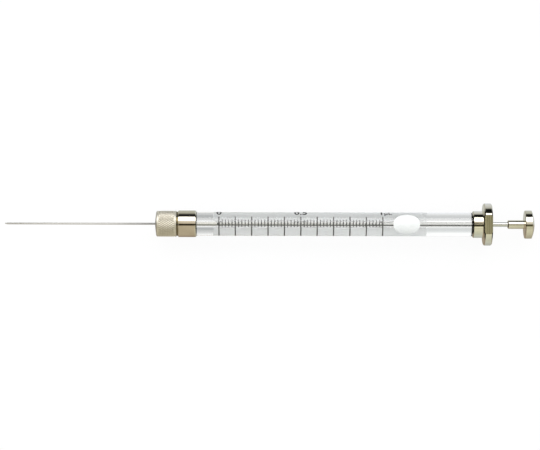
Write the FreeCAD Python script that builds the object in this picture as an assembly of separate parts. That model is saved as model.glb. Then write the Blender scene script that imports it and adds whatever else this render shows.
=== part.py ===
"""A 1 microlitre plunger-in-needle microsyringe with a removable needle.

The syringe lies along X on the lower flat of its finger flange, with the needle
towards -X, the scale upwards (+Z) and the floor at Z = 0. The origin is on the floor
under the middle of its length. Every station is a distance in millimetres from the
needle's tip, along the syringe's axis.
"""
import FreeCAD
import Part
import math
import os

Vector = FreeCAD.Vector

# ---- scale and bore --------------------------------------------------------
CAPACITY = 1.0                      # microlitres, which are cubic millimetres
SCALE_ZERO = 71.1                   # station of the zero line
SCALE_LENGTH = 54.2                 # from the zero line to the full line
LONG_STEPS = 10                     # long lines divide the scale in tenths
SHORT_STEPS = 5                     # and short lines divide each tenth in fifths
LONG_LINE_WIDTH = 0.42
SHORT_LINE_WIDTH = 0.30
LONG_LINE_ARC = (-37.6, 89.5)       # degrees round the glass from its top
SHORT_LINE_ARC = (-21.0, 15.0)
ENAMEL = 0.03                       # thickness of the fired lines
ENAMEL_BITE = 0.015                 # how far fired enamel fuses into the glass
BACKING = (69.1, 140.2)             # stations of the white backing's ends
BACKING_THICKNESS = 0.05

# ---- needle, ferrule and seal ----------------------------------------------
NEEDLE_RADIUS = 0.315
NEEDLE_TIP_RADIUS = 0.14
NEEDLE_CONE = 0.9                   # length of the ground cone at the tip
NEEDLE_SHOULDER = 49.7              # behind it the tube tapers to its ferrule
NEEDLE_SEAT_RADIUS = 0.29
NEEDLE_END = 56.0
WIRE_CLEARANCE = 0.012              # all round the wire, in the needle
FERRULE_FRONT = 51.4
FERRULE_HEAD_END = 53.6
FERRULE_END = 55.2
FERRULE_HEAD_RADIUS = 2.3
SPIGOT_BORE_RADIUS = 1.28
SEAL_END = 57.9
SLIDING_GAP = 0.03                  # ferrule in its bore, nut on its thread

# ---- knurled nut -----------------------------------------------------------
NUT_FRONT = 49.93
NUT_END = 56.95
NUT_RADIUS = 4.30
NUT_FACE_RADIUS = 1.3               # flat middle of the nut's front
NUT_FACE_SLOPE = 0.38               # how far the front slopes back to its rim
NUT_NOSE = 0.62                     # radius of the rounded front rim
NUT_HOLE_RADIUS = 0.40
THREAD_RADIUS = 3.0
THREAD_PITCH = 0.75
THREAD_DEPTH = 0.40
KNURL = (50.92, 56.50)              # stations of the knurled band's ends
KNURL_CREST = 4.33
KNURL_ROOT = 4.11
KNURL_COUNT = 40                    # diamonds round the nut
KNURL_ROWS = 10                     # half-diamonds along it

# ---- front collar ----------------------------------------------------------
SPIGOT_FRONT = 53.9
NECK_FRONT = 57.0
NECK_RADIUS = 4.04
COLLAR_FRONT = 57.5
COLLAR_END = 63.6
COLLAR_RADIUS = 4.425
COLLAR_FRONT_BEVEL = 0.2
COLLAR_END_ROUND = 0.45

# ---- glass barrel and guide tube -------------------------------------------
GLASS_FRONT = 59.0
GLASS_END = 159.6
GLASS_RADIUS = 3.92
GLASS_BORE_RADIUS = 0.8
GLUE_GAP = 0.03                     # between the glass and its two collars
GUIDE_RADIUS = 0.78
GUIDE_BORE_RADIUS = 0.15

# ---- finger flange and rear bush -------------------------------------------
FLANGE_FRONT = 155.12
DISC_FRONT = 158.8
DISC_END = 161.5
FLANGE_COLLAR_RADIUS = 4.46
DISC_RADIUS = 7.025
DISC_BEVEL = 0.35
DISC_FILLET = 0.45                  # in the corner between collar and disc
FLAT_HEIGHT = 6.28                  # of the disc's two flats, from the axis
BUSH_HEAD_END = 160.5
BUSH_HEAD_RADIUS = 2.2
BUSH_NECK_RADIUS = 1.5

# ---- plunger ---------------------------------------------------------------
ROD_RADIUS = 0.75
ROD_CLEARANCE = 0.02                # all round the rod, in its bush
ROD_POINT = 0.4                     # length of the bevel at the reading edge
ROD_END = 171.4
WIRE_SEAT = 2.0                     # depth of the wire in the rod
SHANK_FRONT = 166.9
SHANK_RADIUS = 1.45
KNOB_FRONT = 172.5
KNOB_RIM_END = 174.8
KNOB_RADIUS = 4.685
KNOB_EDGE = 0.3                     # radius of the rim's front edge
KNOB_DOME = 1.0
STOP_GAP = 0.05                     # between the guide tube and the rod at zero

# ---- derived ---------------------------------------------------------------
OVERALL = KNOB_RIM_END + KNOB_DOME
MIDDLE = OVERALL / 2
AXIS_START = Vector(0, 0, FLAT_HEIGHT)
AXIS = Vector(1, 0, 0)
WIRE_RADIUS = math.sqrt(CAPACITY / (math.pi * SCALE_LENGTH))
NEEDLE_BORE_RADIUS = WIRE_RADIUS + WIRE_CLEARANCE
ROD_EDGE = SCALE_ZERO - LONG_LINE_WIDTH / 2
ROD_FRONT = ROD_EDGE - ROD_POINT


def at(station, radius, angle=0.0):
    """Point at a station, a radius and an angle in degrees from the top, towards -Y."""
    turn = math.radians(angle)
    side = -radius * math.sin(turn)
    height = FLAT_HEIGHT + radius * math.cos(turn)
    return Vector(station - MIDDLE, side, height)


def turned(*profile):
    """Solid turned about the axis from the corners (station, radius) of its section."""
    corners = [at(*corner) for corner in profile]
    section = Part.Face(Part.makePolygon(corners + corners[:1]))
    return section.revolve(AXIS_START, AXIS, 360)


def rim(solid, station, radius):
    """Circular edge of a turned solid at one station and radius."""
    for edge in solid.Edges:
        if not isinstance(edge.Curve, Part.Circle):
            continue
        centre = edge.Curve.Center.x + MIDDLE
        if math.hypot(centre - station, edge.Curve.Radius - radius) < 0.001:
            return edge
    raise ValueError("no rim at %s, %s" % (station, radius))


def bevelled(solid, size, *rims):
    """Turned solid with bevels along its rims, given as (station, radius)."""
    return solid.makeChamfer(size, [rim(solid, *place) for place in rims])


def rounded(solid, size, *rims):
    """Turned solid with rounded rims, given as (station, radius)."""
    return solid.makeFillet(size, [rim(solid, *place) for place in rims])


def patch(start, end, inner, outer, arc):
    """Curved plate on the glass between two stations, two radii and two angles."""
    corners = [(start, inner), (end, inner), (end, outer), (start, outer)]
    points = [at(station, radius, arc[0]) for station, radius in corners]
    section = Part.Face(Part.makePolygon(points + points[:1]))
    return section.revolve(AXIS_START, AXIS, arc[1] - arc[0])


# ---- needle side -----------------------------------------------------------
def needle():
    """Steel tube, ground to a cone at the tip."""
    return turned(
        (0, NEEDLE_BORE_RADIUS),
        (0, NEEDLE_TIP_RADIUS),
        (NEEDLE_CONE, NEEDLE_RADIUS),
        (NEEDLE_SHOULDER, NEEDLE_RADIUS),
        (FERRULE_FRONT, NEEDLE_SEAT_RADIUS),
        (NEEDLE_END, NEEDLE_SEAT_RADIUS),
        (NEEDLE_END, NEEDLE_BORE_RADIUS),
    )


def needle_ferrule():
    """Sleeve fixed on the needle: the nut pushes its head, its body squeezes the seal."""
    body = SPIGOT_BORE_RADIUS - SLIDING_GAP
    ferrule = turned(
        (FERRULE_FRONT, NEEDLE_SEAT_RADIUS),
        (FERRULE_FRONT, FERRULE_HEAD_RADIUS),
        (FERRULE_HEAD_END, FERRULE_HEAD_RADIUS),
        (FERRULE_HEAD_END, body),
        (FERRULE_END, body),
        (FERRULE_END, NEEDLE_SEAT_RADIUS),
    )
    head_rims = [(FERRULE_FRONT, FERRULE_HEAD_RADIUS), (FERRULE_HEAD_END, FERRULE_HEAD_RADIUS)]
    return bevelled(ferrule, 0.2, *head_rims)


def needle_seal():
    """Soft plug in the spigot, round the needle's end and the wire behind it."""
    needle_pocket = NEEDLE_SEAT_RADIUS + 0.015
    wire_hole = WIRE_RADIUS + 0.02
    return turned(
        (FERRULE_END, needle_pocket),
        (FERRULE_END, SPIGOT_BORE_RADIUS),
        (SEAL_END, SPIGOT_BORE_RADIUS),
        (SEAL_END, wire_hole),
        (NEEDLE_END, wire_hole),
        (NEEDLE_END, needle_pocket),
    )


def knurl_point(step, row):
    """Corner of the knurl's net: crests and roots alternate like a chessboard."""
    on_end = row in (0, KNURL_ROWS)
    is_crest = (step + row) % 2 == 0 and not on_end
    radius = KNURL_CREST if is_crest else KNURL_ROOT
    station = KNURL[0] + (KNURL[1] - KNURL[0]) * row / KNURL_ROWS
    return at(station, radius, 180.0 * step / KNURL_COUNT)


def triangle(a, b, c):
    """Flat face between three points."""
    return Part.Face(Part.makePolygon([a, b, c, a]))


def knurl_faces():
    """Facets of the diamonds: each square of the net is split from root to root."""
    faces = []
    for row in range(KNURL_ROWS):
        for step in range(2 * KNURL_COUNT):
            a = knurl_point(step, row)
            b = knurl_point(step + 1, row)
            c = knurl_point(step, row + 1)
            d = knurl_point(step + 1, row + 1)
            if (step + row) % 2 == 0:
                faces += [triangle(a, b, c), triangle(b, d, c)]
            else:
                faces += [triangle(a, b, d), triangle(a, d, c)]
    return faces


def knurl_shoulder(row):
    """Flat ring at one end of the knurl, from the roots out to the plain rim."""
    corners = [knurl_point(step, row) for step in range(2 * KNURL_COUNT)]
    inside = Part.Face(Part.makePolygon(corners + corners[:1]))
    centre = Vector(corners[0].x, 0, FLAT_HEIGHT)
    disc = Part.Face(Part.Wire(Part.makeCircle(NUT_RADIUS, centre, AXIS)))
    return disc.cut(inside).Faces[0]


def knurled_nut():
    """Nut with a diamond knurl between two plain rims, a needle hole and a thread."""
    bore = THREAD_RADIUS + SLIDING_GAP
    blank = turned(
        (NUT_FRONT, NUT_HOLE_RADIUS),
        (NUT_FRONT, NUT_FACE_RADIUS),
        (NUT_FRONT + NUT_FACE_SLOPE, NUT_RADIUS),
        (KNURL[0], NUT_RADIUS),
        (KNURL[1], NUT_RADIUS),
        (NUT_END, NUT_RADIUS),
        (NUT_END, bore),
        (FERRULE_FRONT, bore),
        (FERRULE_FRONT, NUT_HOLE_RADIUS),
    )
    blank = rounded(blank, NUT_NOSE, (NUT_FRONT + NUT_FACE_SLOPE, NUT_RADIUS))
    blank = bevelled(blank, 0.15, (NUT_END, NUT_RADIUS), (NUT_END, bore))
    middle = (KNURL[0] + KNURL[1]) / 2 - MIDDLE
    plain = [face for face in blank.Faces if not is_band(face, middle)]
    shoulders = [knurl_shoulder(0), knurl_shoulder(KNURL_ROWS)]
    shell = Part.makeShell(plain + shoulders + knurl_faces())
    shell.sewShape()
    return Part.Solid(shell)


def is_band(face, middle):
    """True for the plain band of the nut's blank that the knurl replaces."""
    box = face.BoundBox
    return box.ZMax > FLAT_HEIGHT + NUT_RADIUS - 0.01 and box.XMin < middle < box.XMax


# ---- barrel ----------------------------------------------------------------
def thread_rings(start, turns):
    """Corners of V grooves one pitch apart, which stand in for a thread's helix."""
    corners = [(start, THREAD_RADIUS)]
    for turn in range(turns):
        root = start + (turn + 0.5) * THREAD_PITCH
        crest = root + THREAD_PITCH / 2
        corners += [(root, THREAD_RADIUS - THREAD_DEPTH), (crest, THREAD_RADIUS)]
    return corners


def front_collar():
    """Screw spigot, neck and collar in one piece, bonded over the glass."""
    socket = GLASS_RADIUS + GLUE_GAP
    collar = turned(
        (SPIGOT_FRONT, SPIGOT_BORE_RADIUS),
        (SPIGOT_FRONT, THREAD_RADIUS),
        *thread_rings(SPIGOT_FRONT + 0.45, 3),
        (NECK_FRONT, THREAD_RADIUS),
        (NECK_FRONT, NECK_RADIUS),
        (COLLAR_FRONT, NECK_RADIUS),
        (COLLAR_FRONT, COLLAR_RADIUS),
        (COLLAR_END, COLLAR_RADIUS),
        (COLLAR_END, socket),
        (GLASS_FRONT, socket),
        (GLASS_FRONT, GUIDE_RADIUS),
        (SEAL_END, GUIDE_RADIUS),
        (SEAL_END, SPIGOT_BORE_RADIUS),
    )
    collar = bevelled(collar, 0.3, (SPIGOT_FRONT, THREAD_RADIUS))
    collar = bevelled(collar, COLLAR_FRONT_BEVEL, (COLLAR_FRONT, COLLAR_RADIUS))
    return rounded(collar, COLLAR_END_ROUND, (COLLAR_END, COLLAR_RADIUS))


def glass_barrel():
    """Thick-walled glass tube with eased ends."""
    barrel = turned(
        (GLASS_FRONT, GLASS_BORE_RADIUS),
        (GLASS_FRONT, GLASS_RADIUS),
        (GLASS_END, GLASS_RADIUS),
        (GLASS_END, GLASS_BORE_RADIUS),
    )
    return bevelled(barrel, 0.2, (GLASS_FRONT, GLASS_RADIUS), (GLASS_END, GLASS_RADIUS))


def wire_guide():
    """Tube in the front of the bore that keeps the wire straight and stops the rod."""
    end = ROD_FRONT - STOP_GAP
    return turned(
        (SEAL_END, GUIDE_BORE_RADIUS),
        (SEAL_END, GUIDE_RADIUS),
        (end, GUIDE_RADIUS),
        (end, GUIDE_BORE_RADIUS),
    )


def scale_marks():
    """Fired lines across the glass, long at each tenth and short at each fiftieth."""
    lines = []
    inner = GLASS_RADIUS - ENAMEL_BITE
    steps = LONG_STEPS * SHORT_STEPS
    for step in range(steps + 1):
        is_long = step % SHORT_STEPS == 0
        width = LONG_LINE_WIDTH if is_long else SHORT_LINE_WIDTH
        arc = LONG_LINE_ARC if is_long else SHORT_LINE_ARC
        station = SCALE_ZERO + SCALE_LENGTH * step / steps
        start = station - width / 2
        end = station + width / 2
        lines.append(patch(start, end, inner, GLASS_RADIUS + ENAMEL, arc))
    return Part.makeCompound(lines)


def scale_backing():
    """White enamel over the lower half of the glass, behind the scale."""
    inner = GLASS_RADIUS - ENAMEL_BITE
    outer = GLASS_RADIUS + BACKING_THICKNESS
    return patch(BACKING[0], BACKING[1], inner, outer, (90, 270))


def finger_flange():
    """Collar and disc in one piece, bonded over the glass, with two parallel flats."""
    socket = GLASS_RADIUS + GLUE_GAP
    flange = turned(
        (FLANGE_FRONT, socket),
        (FLANGE_FRONT, FLANGE_COLLAR_RADIUS),
        (DISC_FRONT, FLANGE_COLLAR_RADIUS),
        (DISC_FRONT, DISC_RADIUS),
        (DISC_END, DISC_RADIUS),
        (DISC_END, BUSH_NECK_RADIUS),
        (BUSH_HEAD_END, BUSH_NECK_RADIUS),
        (BUSH_HEAD_END, BUSH_HEAD_RADIUS),
        (GLASS_END, BUSH_HEAD_RADIUS),
        (GLASS_END, socket),
    )
    flange = bevelled(flange, 0.4, (FLANGE_FRONT, FLANGE_COLLAR_RADIUS))
    flange = bevelled(flange, DISC_BEVEL, (DISC_FRONT, DISC_RADIUS), (DISC_END, DISC_RADIUS))
    flange = rounded(flange, DISC_FILLET, (DISC_FRONT, FLANGE_COLLAR_RADIUS))
    length = DISC_END - FLANGE_FRONT
    width = 2 * DISC_RADIUS
    corner = Vector(FLANGE_FRONT - MIDDLE, -DISC_RADIUS, 0)
    between_flats = Part.makeBox(length, width, 2 * FLAT_HEIGHT, corner)
    return flange.common(between_flats)


def rear_bush():
    """Stepped bush held between the flange and the glass, round the rod."""
    bore = ROD_RADIUS + ROD_CLEARANCE
    return turned(
        (GLASS_END, bore),
        (GLASS_END, BUSH_HEAD_RADIUS),
        (BUSH_HEAD_END, BUSH_HEAD_RADIUS),
        (BUSH_HEAD_END, BUSH_NECK_RADIUS),
        (DISC_END, BUSH_NECK_RADIUS),
        (DISC_END, bore),
    )


# ---- plunger ---------------------------------------------------------------
def plunger_wire():
    """Wire that fills the needle at zero, fixed in the front of the rod."""
    end = ROD_FRONT + WIRE_SEAT
    return turned((0, 0), (0, WIRE_RADIUS), (end, WIRE_RADIUS), (end, 0))


def guide_rod():
    """Rod in the glass bore, with a bevelled reading edge and a socket for the wire."""
    seat = ROD_FRONT + WIRE_SEAT
    return turned(
        (ROD_FRONT, WIRE_RADIUS),
        (ROD_FRONT, 0.6 * ROD_RADIUS),
        (ROD_EDGE, ROD_RADIUS),
        (ROD_END, ROD_RADIUS),
        (ROD_END, 0),
        (seat, 0),
        (seat, WIRE_RADIUS),
    )


def knob():
    """Shank and disc in one piece, with a domed back to push on."""
    plain = turned(
        (SHANK_FRONT, ROD_RADIUS),
        (SHANK_FRONT, SHANK_RADIUS),
        (KNOB_FRONT, SHANK_RADIUS),
        (KNOB_FRONT, KNOB_RADIUS),
        (OVERALL, KNOB_RADIUS),
        (OVERALL, 0),
        (ROD_END, 0),
        (ROD_END, ROD_RADIUS),
    )
    blank = bevelled(plain, 0.3, (SHANK_FRONT, SHANK_RADIUS))
    blank = rounded(blank, KNOB_EDGE, (KNOB_FRONT, KNOB_RADIUS))
    dome_radius = (KNOB_RADIUS ** 2 + KNOB_DOME ** 2) / (2 * KNOB_DOME)
    dome = Part.makeSphere(dome_radius, at(OVERALL - dome_radius, 0))
    return blank.common(dome)


NODES = {
    "needle": needle,
    "needle_ferrule": needle_ferrule,
    "needle_seal": needle_seal,
    "knurled_nut": knurled_nut,
    "front_collar": front_collar,
    "glass_barrel": glass_barrel,
    "wire_guide": wire_guide,
    "scale_marks": scale_marks,
    "scale_backing": scale_backing,
    "finger_flange": finger_flange,
    "rear_bush": rear_bush,
    "plunger_wire": plunger_wire,
    "guide_rod": guide_rod,
    "knob": knob,
}


def main():
    """Build each piece, test it and write it as its own STEP file."""
    os.makedirs("parts", exist_ok=True)
    for name, build in NODES.items():
        shape = build()
        shape.exportStep("parts/%s.step" % name)
        print(name, shape.isValid(), len(shape.Solids), round(shape.Volume, 3))


main()
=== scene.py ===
"""Looks of the microsyringe: finishes, printed scale and a soft studio round it."""
import bmesh
import bpy
import math
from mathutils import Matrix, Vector


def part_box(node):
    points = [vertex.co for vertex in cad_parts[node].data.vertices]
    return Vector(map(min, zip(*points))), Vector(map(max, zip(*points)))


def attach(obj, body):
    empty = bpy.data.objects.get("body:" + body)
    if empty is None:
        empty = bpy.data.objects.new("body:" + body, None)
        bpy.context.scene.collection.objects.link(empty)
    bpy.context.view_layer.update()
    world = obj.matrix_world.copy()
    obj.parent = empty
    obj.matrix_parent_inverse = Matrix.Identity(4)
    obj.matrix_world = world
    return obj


MM = 0.001

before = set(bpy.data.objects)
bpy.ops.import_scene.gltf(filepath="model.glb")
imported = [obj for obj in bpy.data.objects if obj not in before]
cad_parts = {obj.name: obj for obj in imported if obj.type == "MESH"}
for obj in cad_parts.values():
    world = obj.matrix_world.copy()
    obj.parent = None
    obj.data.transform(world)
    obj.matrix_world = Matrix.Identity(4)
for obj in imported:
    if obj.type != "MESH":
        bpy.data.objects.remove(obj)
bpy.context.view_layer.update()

# ---- sizes -----------------------------------------------------------------
glass_low, glass_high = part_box("glass_barrel")
marks_low, marks_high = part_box("scale_marks")
needle_low, needle_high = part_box("needle")
nut_low, nut_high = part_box("knurled_nut")
TIP_X = needle_low.x
AXIS_Z = (needle_low.z + needle_high.z) / 2
GLASS_R = (glass_high.z - glass_low.z) / 2

NOSE = 0.99 * MM                    # from the nut's front to its knurl
REAR_RIM = 0.45 * MM                # from the knurl to the nut's rear
KNURL_START = nut_low.x + NOSE
KNURL_END = nut_high.x - REAR_RIM

LONG_LINE = 0.42 * MM               # thickness of the scale's long lines
ZERO_X = marks_low.x + LONG_LINE / 2
FULL_X = marks_high.x - LONG_LINE / 2
HALF_X = (ZERO_X + FULL_X) / 2

INK = 0.03 * MM                     # thickness of printed enamel
SINK = 0.2 * INK                    # how far print reaches into the glass
BEND_STEP = 0.25 * MM               # spacing of the cuts that let print bend
WELD = 1e-7                         # points closer than this, in metres, are one
DIGIT = 2.65 * MM                   # height of the numbers
TYPE_DIGIT = 0.73                   # height of a digit as a share of the type size
BOLDER = 0.025                      # strokes are offset by this share of the height
UNIT_CAPITAL = 0.70 * DIGIT         # height of the unit's capital
NUMBER_ARC = math.radians(52.0) * GLASS_R
ONE_BACK = 0.35 * MM                # the 1 stands this far before the full line
UNIT_AHEAD = 1.75 * MM              # and the unit this far behind it
FIELD_X = TIP_X + 133.2 * MM
FIELD_LENGTH = 8.8 * MM
FIELD_WIDTH = 7.1 * MM


# ---- node helpers ----------------------------------------------------------
class Nodes:
    """Shorthand for a node tree: an input takes a socket or a plain value."""

    def __init__(self, tree):
        self.tree = tree

    def node(self, kind, **settings):
        """Add a node and set its properties."""
        made = self.tree.nodes.new(kind)
        for key, value in settings.items():
            setattr(made, key, value)
        return made

    def feed(self, target, value):
        """Link a socket to an input, or write a plain value on it."""
        if isinstance(value, bpy.types.NodeSocket):
            self.tree.links.new(value, target)
        else:
            target.default_value = value

    def math(self, operation, *values):
        """Output of a Math node."""
        made = self.node("ShaderNodeMath", operation=operation)
        for socket, value in zip(made.inputs, values):
            self.feed(socket, value)
        return made.outputs[0]

    def split(self, vector):
        """The X, Y and Z of a vector."""
        made = self.node("ShaderNodeSeparateXYZ")
        self.feed(made.inputs[0], vector)
        return made.outputs

    def span(self, value, start, end, low=0.0, high=1.0):
        """Map start..end to low..high, held at its ends."""
        made = self.node("ShaderNodeMapRange")
        for name, number in (
            ("From Min", start), ("From Max", end), ("To Min", low), ("To Max", high),
        ):
            made.inputs[name].default_value = number
        self.feed(made.inputs["Value"], value)
        return made.outputs["Result"]

    def ramp(self, factor, *stops):
        """Colour ramp from (position, colour) stops."""
        made = self.node("ShaderNodeValToRGB")
        elements = made.color_ramp.elements
        while len(elements) < len(stops):
            elements.new(1.0)
        for element, (place, colour) in zip(elements, stops):
            element.position = place
            element.color = (*colour, 1.0)
        self.feed(made.inputs["Fac"], factor)
        return made.outputs["Color"]

    def mix(self, factor, a, b, blend="MIX"):
        """Blend two colours."""
        made = self.node("ShaderNodeMix", data_type="RGBA", blend_type=blend)
        for name, value in (("Factor", factor), ("A", a), ("B", b)):
            self.feed(made.inputs[name], value)
        return made.outputs["Result"]


class Shader(Nodes):
    """A node material with its Principled shader."""

    def __init__(self, name):
        self.mat = bpy.data.materials.new(name)
        self.mat.use_nodes = True
        super().__init__(self.mat.node_tree)
        self.bsdf = self.tree.nodes["Principled BSDF"]
        coordinates = self.node("ShaderNodeTexCoord").outputs
        self.place, self.facing = coordinates["Object"], coordinates["Normal"]

    def set(self, **values):
        """Give inputs of the shader, such as Coat_Weight, a socket or a plain value."""
        for key, value in values.items():
            self.feed(self.bsdf.inputs[key.replace("_", " ")], value)

    def source(self, name):
        """The socket that an input of the shader is linked to."""
        return self.bsdf.inputs[name].links[0].from_socket

    def noise(self, vector, scale, detail):
        made = self.node("ShaderNodeTexNoise")
        made.inputs["Scale"].default_value = scale
        made.inputs["Detail"].default_value = detail
        self.feed(made.inputs["Vector"], vector)
        return made.outputs["Fac"]

    def stretch(self, vector, scale):
        """Vector scaled along each axis, to draw a pattern out into lines."""
        made = self.node("ShaderNodeVectorMath", operation="MULTIPLY")
        made.inputs[1].default_value = scale
        self.feed(made.inputs[0], vector)
        return made.outputs[0]

    def tint(self, factor, colour):
        """Multiply the base colour by another where the factor is 1."""
        self.set(Base_Color=self.mix(factor, self.source("Base Color"), colour, "MULTIPLY"))

    def bump(self, height, strength, distance):
        made = self.node("ShaderNodeBump")
        made.inputs["Strength"].default_value = strength
        made.inputs["Distance"].default_value = distance
        self.feed(made.inputs["Height"], height)
        self.set(Normal=made.outputs["Normal"])

    def radius(self):
        """Distance from the syringe's axis."""
        _, y, z = self.split(self.place)
        height = self.math("SUBTRACT", z, AXIS_Z)
        squares = [self.math("MULTIPLY", v, v) for v in (y, height)]
        return self.math("SQRT", self.math("ADD", *squares))

    def turning(self, pitch):
        """Noise that runs in rings round the axis, on sides and on end faces."""
        x, _, _ = self.split(self.place)
        along = self.math("ADD", x, self.radius())
        made = self.node("ShaderNodeTexNoise", noise_dimensions="1D")
        made.inputs["Scale"].default_value = 1.0
        made.inputs["Detail"].default_value = 3.0
        self.feed(made.inputs["W"], self.math("DIVIDE", along, pitch))
        return made.outputs["Fac"]


# ---- materials -------------------------------------------------------------
WHITE = (1.0, 1.0, 1.0)
# two shades to mottle between, and the roughness
POLISHED = ((0.62, 0.585, 0.49), (0.69, 0.655, 0.565), 0.07)
BLACK = ((0.010, 0.010, 0.011), (0.020, 0.020, 0.021), 0.5)


def nickel(name, low, high, roughness):
    """Polished nickel over brass with fine turning rings and a faint warm bloom."""
    s = Shader(name)
    rings = s.turning(0.09 * MM)
    bloom = s.noise(s.place, 260.0, 4.0)
    s.set(
        Base_Color=s.ramp(bloom, (0.35, low), (0.65, high)),
        Roughness=s.span(rings, 0.0, 1.0, roughness * 0.7, roughness * 1.5),
        Metallic=1.0,
    )
    s.bump(rings, 0.35, 0.0006 * MM)
    return s


def shaded_by_radius(s, inner, outer, dark, share=1.0):
    """Paint shade into a material's colour below one radius, fading to nothing at the other."""
    depth = s.math("SUBTRACT", s.radius(), inner)
    height = s.math("DIVIDE", depth, outer - inner)
    s.tint(share, s.ramp(height, (0.0, dark), (1.0, WHITE)))


def worn_round(s, share):
    """Lean a turned part's normals towards its radius, as wear rounds its crests."""
    inward = s.node("ShaderNodeVectorMath", operation="SUBTRACT")
    inward.inputs[1].default_value = (0, 0, AXIS_Z)
    s.feed(inward.inputs[0], s.place)
    outward = s.node("ShaderNodeVectorMath", operation="NORMALIZE")
    s.feed(outward.inputs[0], s.stretch(inward.outputs[0], (0, 1, 1)))
    end_on = s.math("ABSOLUTE", s.split(s.facing)[0])
    # sides lean by the share and end faces not at all; 4, 5 and 1 are the vector sockets
    mix = s.node("ShaderNodeMix", data_type="VECTOR")
    s.feed(mix.inputs["Factor"], s.span(end_on, 0.75, 0.9, share, 0.0))
    s.feed(mix.inputs[4], s.facing)
    s.feed(mix.inputs[5], outward.outputs[0])
    world = s.node(
        "ShaderNodeVectorTransform",
        vector_type="NORMAL", convert_from="OBJECT", convert_to="WORLD",
    )
    s.feed(world.inputs[0], mix.outputs[1])
    bump = s.source("Normal").node
    s.feed(bump.inputs["Normal"], world.outputs[0])


def knurl_nickel():
    """The nut's nickel: satin, rounded by wear, with painted shade in its grooves and on its
    rims.
    """
    s = nickel("knurl_nickel", (0.90, 0.870, 0.785), (0.97, 0.943, 0.86), 0.5)
    x, _, _ = s.split(s.place)
    centre = (KNURL_START + KNURL_END) / 2
    reach = (KNURL_END - KNURL_START) / 2
    from_centre = s.math("ABSOLUTE", s.math("SUBTRACT", x, centre))
    from_end = s.math("SUBTRACT", reach, from_centre)
    fade = 0.42 * MM                 # the painted groove shade fades over this at each end
    away = s.math("MINIMUM", s.math("DIVIDE", from_end, fade), 1.0)
    # painted shade in the grooves, darkest at their roots and faded out near the knurl's ends
    shaded_by_radius(s, inner=4.11 * MM, outer=4.25 * MM, dark=(0.40, 0.375, 0.32), share=away)
    rim = s.math("DIVIDE", s.math("ADD", from_end, NOSE), NOSE)
    # painted shade on the plain rims, darker still at the front of the nose
    nose, plain = (0.64, 0.64, 0.63), (0.78, 0.78, 0.77)
    s.tint(1.0, s.ramp(rim, (0.4, nose), (0.6, plain), (0.999, plain), (1.0, WHITE)))
    worn_round(s, 0.5)
    return s.mat


def collar_nickel():
    """Polished nickel, with painted shade in the groove behind the nut, a dark brassy brown."""
    s = nickel("collar_nickel", *POLISHED)
    # painted shade in the groove behind the nut, darkest at its bottom
    shaded_by_radius(s, inner=4.06 * MM, outer=4.24 * MM, dark=(0.26, 0.225, 0.13))
    return s.mat


def flange_nickel():
    """Polished nickel, but brushed and worn towards brass on the disc's two flats."""
    s = nickel("flange_nickel", *POLISHED)
    _, _, z = s.split(s.place)
    height = s.math("ABSOLUTE", s.math("SUBTRACT", z, AXIS_Z))
    near = 0.03 * MM                 # how near the flats' own height counts as on them
    on_flat = s.math("GREATER_THAN", height, AXIS_Z - near)
    grain = s.noise(s.stretch(s.place, (3200.0, 60.0, 60.0)), 1.0, 3.0)
    s.tint(on_flat, s.ramp(grain, (0.35, (0.50, 0.50, 0.36)), (0.65, (0.78, 0.78, 0.60))))
    brushed = s.math("MULTIPLY", on_flat, 0.28)
    s.set(Roughness=s.math("ADD", s.source("Roughness"), brushed))
    return s.mat


def drawn_steel(name, low, high, roughness):
    """Drawn steel with fine lines along its length."""
    s = Shader(name)
    lines = s.noise(s.stretch(s.place, (60.0, 9000.0, 9000.0)), 1.0, 3.0)
    s.set(
        Base_Color=s.ramp(lines, (0.3, low), (0.7, high)),
        Roughness=s.span(lines, 0.0, 1.0, roughness * 0.7, roughness * 1.4),
        Metallic=1.0,
    )
    s.bump(lines, 0.2, 0.0008 * MM)
    return s


def needle_steel():
    """Steel of the needle, with painted shade that stands for the room's reflection: darker at
    its tip and most of all at its seat.
    """
    s = drawn_steel("needle_steel", (0.54, 0.545, 0.55), (0.68, 0.685, 0.69), 0.28)
    x, _, _ = s.split(s.place)
    reach = s.math("DIVIDE", s.math("SUBTRACT", x, TIP_X), nut_low.x - TIP_X)
    # painted shade along the needle, by the share of its length from the tip to the seat
    shades = (
        (0.0, 0.78), (0.13, 0.85), (0.4, 1.0), (0.68, 1.0), (0.8, 0.8), (0.91, 0.53), (1.0, 0.47),
    )
    s.tint(1.0, s.ramp(reach, *((place, (shade, shade, shade)) for place, shade in shades)))
    return s.mat


def ptfe():
    """White waxy plastic with a faint mottle."""
    s = Shader("ptfe")
    cloud = s.noise(s.place, 900.0, 3.0)
    s.set(
        Base_Color=s.ramp(cloud, (0.3, (0.74, 0.74, 0.71)), (0.7, (0.84, 0.84, 0.82))),
        Roughness=s.span(cloud, 0.0, 1.0, 0.35, 0.5),
        Subsurface_Weight=0.2,
        Subsurface_Scale=0.4 * MM,
    )
    s.bump(cloud, 0.2, 0.003 * MM)
    return s.mat


def borosilicate():
    """Clear tube glass with faint draw lines and a trace of handling."""
    s = Shader("borosilicate")
    lines = s.noise(s.stretch(s.place, (14.0, 700.0, 700.0)), 1.0, 2.0)
    haze = s.noise(s.place, 120.0, 3.0)
    s.set(
        Base_Color=s.ramp(haze, (0.3, (0.985, 0.992, 0.99)), (0.7, WHITE)),
        Roughness=s.span(haze, 0.0, 1.0, 0.0, 0.012),
        Transmission_Weight=1.0,
        IOR=1.47,
    )
    s.bump(lines, 0.01, 0.002 * MM)
    return s.mat


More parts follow.
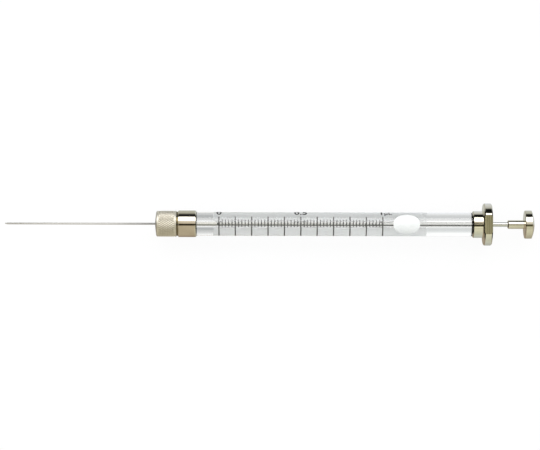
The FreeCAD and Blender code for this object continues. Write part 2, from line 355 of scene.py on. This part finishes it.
def enamel(name, low, high, roughness, grain, peel=0.15):
    """Fired enamel: a slight orange peel and a mottle of two close shades."""
    s = Shader(name)
    mottle = s.noise(s.place, grain, 4.0)
    s.set(
        Base_Color=s.ramp(mottle, (0.35, low), (0.65, high)),
        Roughness=s.span(mottle, 0.0, 1.0, roughness * 0.8, roughness * 1.3),
        IOR=1.52,
    )
    s.bump(mottle, peel, 0.002 * MM)
    return s


def thin_enamel():
    """White enamel so thin that some light comes through it from behind."""
    s = enamel("thin_enamel", (0.88, 0.90, 0.895), (0.92, 0.94, 0.935), 0.4, 1800.0)
    s.set(
        Subsurface_Weight=0.5,
        Subsurface_Scale=1.0 * MM,
        Subsurface_Radius=(1.0, 1.0, 1.0),
        Alpha=0.68,
    )
    return s.mat


def black_ink():
    """Glossy black frit: its lead glass bends light more than the tube does."""
    s = enamel("black_ink", *BLACK, 900.0, 0.02)
    s.set(IOR=2.1)
    return s.mat


def matt_ink():
    """Matt black of the numbers."""
    s = enamel("matt_ink", *BLACK, 2600.0, 0.04)
    s.set(Specular_IOR_Level=0.15)
    return s.mat


def dress(material, *nodes):
    """Give CAD nodes a material by filling their slots."""
    for name in nodes:
        for slot in bpy.data.objects[name].material_slots:
            slot.material = material


NUMBER_INK = matt_ink()
WHITE_INK = enamel("white_ink", (0.46, 0.47, 0.465), (0.50, 0.51, 0.505), 0.4, 1800.0).mat
ROD_STEEL = drawn_steel("rod_steel", (0.53, 0.53, 0.51), (0.62, 0.62, 0.60), 0.12).mat
GUIDE_STEEL = drawn_steel("guide_steel", (0.64, 0.63, 0.60), (0.74, 0.73, 0.70), 0.08).mat
FERRULE_BRASS = nickel("ferrule_brass", (0.66, 0.47, 0.20), (0.80, 0.62, 0.32), 0.2).mat

dress(nickel("knob_nickel", *POLISHED).mat, "knob")
dress(flange_nickel(), "finger_flange")
dress(collar_nickel(), "front_collar")
dress(knurl_nickel(), "knurled_nut")
dress(needle_steel(), "needle")
dress(ROD_STEEL, "guide_rod", "plunger_wire")
dress(GUIDE_STEEL, "wire_guide")
dress(FERRULE_BRASS, "needle_ferrule")
dress(ptfe(), "needle_seal", "rear_bush")
dress(borosilicate(), "glass_barrel")
dress(black_ink(), "scale_marks")
dress(thin_enamel(), "scale_backing")


# ---- print on the glass ----------------------------------------------------
def on_glass(x, arc, lift):
    """Point on the glass: arc is the length round it from its top towards +Y."""
    angle = arc / GLASS_R
    radius = GLASS_R + lift
    return Vector((x, radius * math.sin(angle), AXIS_Z + radius * math.cos(angle)))


def text_outline(words, height):
    """Flat mesh of a short text with digits of the given height."""
    curve = bpy.data.curves.new(words, "FONT")
    curve.body = words
    curve.align_x = "CENTER"
    curve.resolution_u = 3
    curve.offset = BOLDER * height
    curve.size = height / TYPE_DIGIT
    holder = bpy.data.objects.new(words, curve)
    bpy.context.collection.objects.link(holder)
    graph = bpy.context.evaluated_depsgraph_get()
    mesh = bpy.data.meshes.new_from_object(holder.evaluated_get(graph))
    bpy.data.objects.remove(holder)
    return mesh


# outlines of a mu and an L, as fractions of the capital's height: the type's own mu
# folds over itself when it is thickened
MU = (
    (-0.62, -0.26), (-0.45, -0.26), (-0.45, 0.0), (-0.4, -0.03), (-0.32, -0.03), (-0.21, 0.04),
    (-0.21, -0.02), (-0.05, -0.02), (-0.05, 0.64), (-0.22, 0.64), (-0.22, 0.27), (-0.26, 0.15),
    (-0.34, 0.11), (-0.42, 0.15), (-0.45, 0.27), (-0.45, 0.64), (-0.62, 0.64),
)
ELL = ((0.12, -0.02), (0.72, -0.02), (0.72, 0.14), (0.29, 0.14), (0.29, 0.96), (0.12, 0.96))


def drawn_outline(outlines, height):
    """Flat mesh of letters drawn here, with capitals of the given height."""
    shape = bmesh.new()
    for outline in outlines:
        shape.faces.new([shape.verts.new((x * height, y * height, 0)) for x, y in outline])
    mesh = bpy.data.meshes.new("letters")
    shape.to_mesh(mesh)
    shape.free()
    return mesh


def oval(length, width, corners=64):
    """Flat oval mesh."""
    mesh = bpy.data.meshes.new("oval")
    angles = [i * 2 * math.pi / corners for i in range(corners)]
    ring = [(length / 2 * math.cos(a), width / 2 * math.sin(a), 0) for a in angles]
    mesh.from_pydata(ring, [], [tuple(range(corners))])
    return mesh


def split_grid(shape, axis, step):
    """Cut a flat mesh along lines a step apart, so that it can bend."""
    values = [v.co[axis] for v in shape.verts]
    normal = Vector((axis == 0, axis == 1, 0))
    place = math.ceil(min(values) / step) * step
    while place < max(values):
        geometry = shape.verts[:] + shape.edges[:] + shape.faces[:]
        bmesh.ops.bisect_plane(
            shape, geom=geometry, plane_co=normal * place, plane_no=normal, dist=WELD,
        )
        place += step


def wrapped(name, mesh, x, arc, material):
    """Bend a flat mesh round the glass as a thin closed plate and ride the barrel."""
    shape = bmesh.new()
    shape.from_mesh(mesh)
    bmesh.ops.remove_doubles(shape, verts=shape.verts, dist=WELD)
    for axis in (0, 1):
        split_grid(shape, axis, BEND_STEP)
    top = bmesh.ops.extrude_face_region(shape, geom=shape.faces[:])["geom"]
    raised = {v for v in top if isinstance(v, bmesh.types.BMVert)}
    for vert in shape.verts:
        lift = INK if vert in raised else -SINK
        vert.co = on_glass(x + vert.co.x, arc + vert.co.y, lift)
    bmesh.ops.recalc_face_normals(shape, faces=shape.faces[:])
    shape.to_mesh(mesh)
    shape.free()
    mesh.materials.clear()
    mesh.materials.append(material)
    piece = bpy.data.objects.new(name, mesh)
    bpy.context.collection.objects.link(piece)
    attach(piece, "barrel")


for name, letters, x in (
    ("number_zero", text_outline("0", DIGIT), ZERO_X),
    ("number_half", text_outline("0.5", DIGIT), HALF_X),
    ("number_one", text_outline("1", DIGIT), FULL_X - ONE_BACK),
    ("unit_microlitre", drawn_outline((MU, ELL), UNIT_CAPITAL), FULL_X + UNIT_AHEAD),
):
    wrapped(name, letters, x, NUMBER_ARC, NUMBER_INK)

field = oval(FIELD_LENGTH, FIELD_WIDTH)
wrapped("blank_field", field, FIELD_X, 0.0, WHITE_INK)


# ---- studio ----------------------------------------------------------------
def floor():
    """Pale table that glows a little, so that shadows on it stay faint."""
    s = Shader("pale_table")
    cloud = s.noise(s.place, 6.0, 3.0)
    s.set(
        Base_Color=s.ramp(cloud, (0.3, (0.050, 0.050, 0.050)), (0.7, (0.055, 0.055, 0.055))),
        Roughness=0.9,
        Specular_IOR_Level=0.0,
        Emission_Color=(1, 1, 1, 1),
        Emission_Strength=0.905,
    )
    mesh = bpy.data.meshes.new("table")
    side = 3.0
    below = 0.02 * MM
    corners = [(-side, -side), (side, -side), (side, side), (-side, side)]
    mesh.from_pydata([(x, y, -below) for x, y in corners], [], [(0, 1, 2, 3)])
    mesh.materials.append(s.mat)
    table = bpy.data.objects.new("table", mesh)
    bpy.context.collection.objects.link(table)
    table.visible_glossy = False
    table.visible_transmission = False


# colours of the room by the angle from straight up towards +Y, in degrees: as the metal
# shows them at the front collar, at the flange and at the knob, and as the glass does
# towards its front and its rear
FRONT_ROOM = (
    (-180, (0.40, 0.34, 0.26)),
    (-140, (0.425, 0.355, 0.275)),
    (-122, (0.565, 0.485, 0.375)),
    (-100, (0.625, 0.55, 0.425)),
    (-19.5, (0.68, 0.60, 0.465)),
    (-14.5, (0.18, 0.14, 0.10)),
    (-9.5, (0.03, 0.025, 0.015)),
    (0, (0.01, 0.01, 0.008)),
    (4.5, (0.62, 0.55, 0.43)),
    (14, (0.96, 0.87, 0.76)),
    (24, (1.02, 0.95, 0.87)),
    (66, (0.03, 0.03, 0.03)),
    (88, (0.02, 0.02, 0.02)),
    (106, (0.52, 0.52, 0.47)),
    (125, (0.66, 0.67, 0.62)),
    (180, (0.62, 0.63, 0.58)),
)
FLANGE_ROOM = (
    (-180, (0.56, 0.56, 0.52)),
    (-139, (0.66, 0.71, 0.70)),
    (-115, (0.82, 0.89, 0.86)),
    (-92, (0.80, 0.86, 0.77)),
    (-70, (0.88, 0.93, 0.80)),
    (-50, (1.02, 1.04, 0.86)),
    (-32, (0.92, 0.91, 0.74)),
    (-24, (1.45, 1.43, 1.20)),
    (-18.5, (0.60, 0.57, 0.40)),
    (-15.5, (0.08, 0.07, 0.04)),
    (-11, (0.02, 0.02, 0.01)),
    (-3, (0.02, 0.02, 0.01)),
    (-1, (1.70, 1.63, 1.25)),
    (5, (1.80, 1.70, 1.30)),
    (7.5, (0.05, 0.035, 0.015)),
    (14, (0.06, 0.04, 0.02)),
    (17, (0.80, 0.70, 0.56)),
    (22, (1.10, 1.00, 0.85)),
    (27, (1.00, 0.96, 0.88)),
    (66, (0.02, 0.02, 0.02)),
    (72, (0.003, 0.006, 0.005)),
    (91, (0.003, 0.003, 0.003)),
    (100.5, (0.66, 0.68, 0.68)),
    (112, (0.86, 0.89, 0.95)),
    (128, (0.96, 1.01, 1.09)),
    (148, (0.88, 0.93, 1.01)),
    (180, (0.84, 0.88, 0.95)),
)
KNOB_ROOM = (
    (-180, (0.50, 0.46, 0.38)),
    (-140, (0.55, 0.52, 0.43)),
    (-62, (0.84, 0.83, 0.66)),
    (-44, (0.84, 0.83, 0.66)),
    (-30, (0.70, 0.70, 0.54)),
    (-20, (0.76, 0.77, 0.59)),
    (-13, (0.40, 0.39, 0.26)),
    (-9.5, (0.08, 0.075, 0.035)),
    (1, (0.05, 0.045, 0.025)),
    (4, (0.20, 0.18, 0.11)),
    (8.5, (0.95, 0.92, 0.82)),
    (20, (1.35, 1.34, 1.29)),
    (24, (1.20, 1.19, 1.15)),
    (70, (0.02, 0.02, 0.02)),
    (92, (0.01, 0.01, 0.01)),
    (104, (0.60, 0.64, 0.60)),
    (115, (0.72, 0.76, 0.70)),
    (135, (0.745, 0.78, 0.785)),
    (180, (0.70, 0.73, 0.71)),
)
FRONT_GLASS = (
    (-180, (1.10, 1.10, 1.10)),
    (-174, (1.00, 1.00, 1.00)),
    (-168, (0.60, 0.61, 0.61)),
    (-161, (0.54, 0.55, 0.55)),
    (-156, (0.51, 0.52, 0.52)),
    (-151, (0.47, 0.49, 0.49)),
    (-145, (0.54, 0.55, 0.55)),
    (-137, (0.64, 0.65, 0.65)),
    (-126, (0.66, 0.67, 0.67)),
    (-118, (0.95, 0.96, 0.96)),
    (-90, (0.95, 0.95, 0.95)),
    (-61, (0.88, 0.88, 0.85)),
    (-53, (0.015, 0.015, 0.01)),
    (-24, (0.015, 0.015, 0.01)),
    (-14, (0.90, 0.90, 0.82)),
    (30, (1.20, 1.20, 1.17)),
    (70, (1.15, 1.15, 1.15)),
    (90, (0.98, 0.99, 0.99)),
    (119, (1.02, 1.03, 1.03)),
    (133, (0.86, 0.87, 0.87)),
    (142, (0.70, 0.71, 0.71)),
    (149, (0.60, 0.61, 0.61)),
    (156, (0.53, 0.54, 0.54)),
    (163, (0.39, 0.41, 0.41)),
    (167, (0.44, 0.46, 0.46)),
    (173, (1.00, 1.00, 1.00)),
    (180, (1.10, 1.10, 1.10)),
)
REAR_GLASS = (
    (-180, (1.10, 1.10, 1.10)),
    (-173, (1.00, 1.00, 1.00)),
    (-167, (0.70, 0.71, 0.71)),
    (-156, (0.64, 0.65, 0.65)),
    (-148, (0.67, 0.68, 0.68)),
    (-138, (0.76, 0.77, 0.77)),
    (-130, (0.84, 0.85, 0.85)),
    (-118, (0.90, 0.91, 0.91)),
    (-90, (0.90, 0.90, 0.90)),
    (-66, (0.85, 0.85, 0.85)),
    (-54, (0.03, 0.03, 0.03)),
    (-30, (0.03, 0.03, 0.03)),
    (-16, (0.90, 0.90, 0.90)),
    (30, (1.50, 1.50, 1.50)),
    (60, (1.45, 1.45, 1.45)),
    (90, (0.90, 0.90, 0.90)),
    (119, (1.10, 1.10, 1.10)),
    (137, (1.05, 1.05, 1.05)),
    (145, (0.94, 0.95, 0.95)),
    (151, (0.82, 0.83, 0.83)),
    (156, (0.70, 0.72, 0.72)),
    (164, (0.64, 0.66, 0.66)),
    (169, (0.70, 0.72, 0.72)),
    (174, (1.00, 1.00, 1.00)),
    (180, (1.10, 1.10, 1.10)),
)
PALE = (0.93, 0.93, 0.92, 1.0)      # backdrop
EVEN = (1.62, 1.64, 1.64, 1.0)      # what lights the matt surfaces
OFF_END = (0.01, 0.01, 0.01, 1.0)   # beyond the syringe's ends
TABLE = (0.42, 0.41, 0.38, 1.0)     # the table, as seen beyond the ends

# where one colour gives way to the next, by the X of a ray's direction
TO_FLANGE = (-0.02, 0.075)
TO_KNOB = (0.096, 0.104)
TO_DARK = (0.62, 0.80)
TO_TABLE = (0.90, 0.98)
TABLE_TOP = (0.0, -0.12)            # by its Z


def surroundings():
    """World: a room for the metal, one for the glass and one for matt surfaces.

    Metal and glass see their room by a ray's direction. It is dark off both ends, but
    for the table there.
    """
    world = bpy.data.worlds.new("studio")
    world.use_nodes = True
    bpy.context.scene.world = world
    room = Nodes(world.node_tree)
    x, y, z = room.split(room.node("ShaderNodeTexCoord").outputs["Generated"])
    rays = room.node("ShaderNodeLightPath").outputs
    turn = room.math("ADD", room.math("DIVIDE", room.math("ARCTAN2", y, z), 2 * math.pi), 0.5)

    def around(colours):
        """Colours by the angle round the syringe's axis."""
        return room.ramp(turn, *(((angle + 180) / 360, colour) for angle, colour in colours))

    to_flange = room.span(x, *TO_FLANGE)
    metal = room.mix(to_flange, around(FRONT_ROOM), around(FLANGE_ROOM))
    metal = room.mix(room.span(x, *TO_KNOB), metal, around(KNOB_ROOM))
    glass = room.mix(to_flange, around(FRONT_GLASS), around(REAR_GLASS))
    colour = room.mix(rays["Is Transmission Ray"], metal, glass)
    along = room.math("ABSOLUTE", x)
    colour = room.mix(room.span(along, *TO_DARK), colour, OFF_END)
    on_table = room.math("MULTIPLY", room.span(along, *TO_TABLE), room.span(z, *TABLE_TOP))
    colour = room.mix(on_table, colour, TABLE)
    colour = room.mix(room.math("MINIMUM", rays["Diffuse Depth"], 1.0), colour, EVEN)
    colour = room.mix(rays["Is Camera Ray"], colour, PALE)
    room.feed(room.tree.nodes["Background"].inputs["Color"], colour)


def softbox():
    """Soft light beyond the syringe, 27 to 63 degrees from straight up."""
    distance = 0.8
    middle = math.radians(45.0)
    half = math.radians(18.3)
    radiance = 2.6
    light = bpy.data.lights.new("softbox", "AREA")
    light.shape = "RECTANGLE"
    light.size = 1.5
    light.size_y = 2 * distance * math.tan(half)
    light.energy = radiance * math.pi * light.size * light.size_y
    lamp = bpy.data.objects.new("softbox", light)
    bpy.context.collection.objects.link(lamp)
    lamp.location = (0, distance * math.sin(middle), distance * math.cos(middle) + AXIS_Z)
    lamp.rotation_euler = (-middle, 0, 0)
    lamp.visible_camera = False
    lamp.visible_transmission = False


def camera():
    """Long lens straight above, needle to the left and scale readable."""
    centre = 88.0 * MM               # from the needle's tip to the picture's middle
    aside = -0.34 * MM
    height = 747.5 * MM              # above the syringe's axis
    turn = math.radians(0.14)
    lens = bpy.data.cameras.new("camera")
    lens.lens = 150.0
    lens.sensor_width = 36.0
    lens.clip_end = 10.0
    eye = bpy.data.objects.new("camera", lens)
    bpy.context.collection.objects.link(eye)
    eye.location = (TIP_X + centre, aside, AXIS_Z + height)
    eye.rotation_euler = (0, 0, turn)
    bpy.context.scene.camera = eye


floor()
surroundings()
softbox()
camera()
bpy.context.scene.view_settings.view_transform = "Standard"
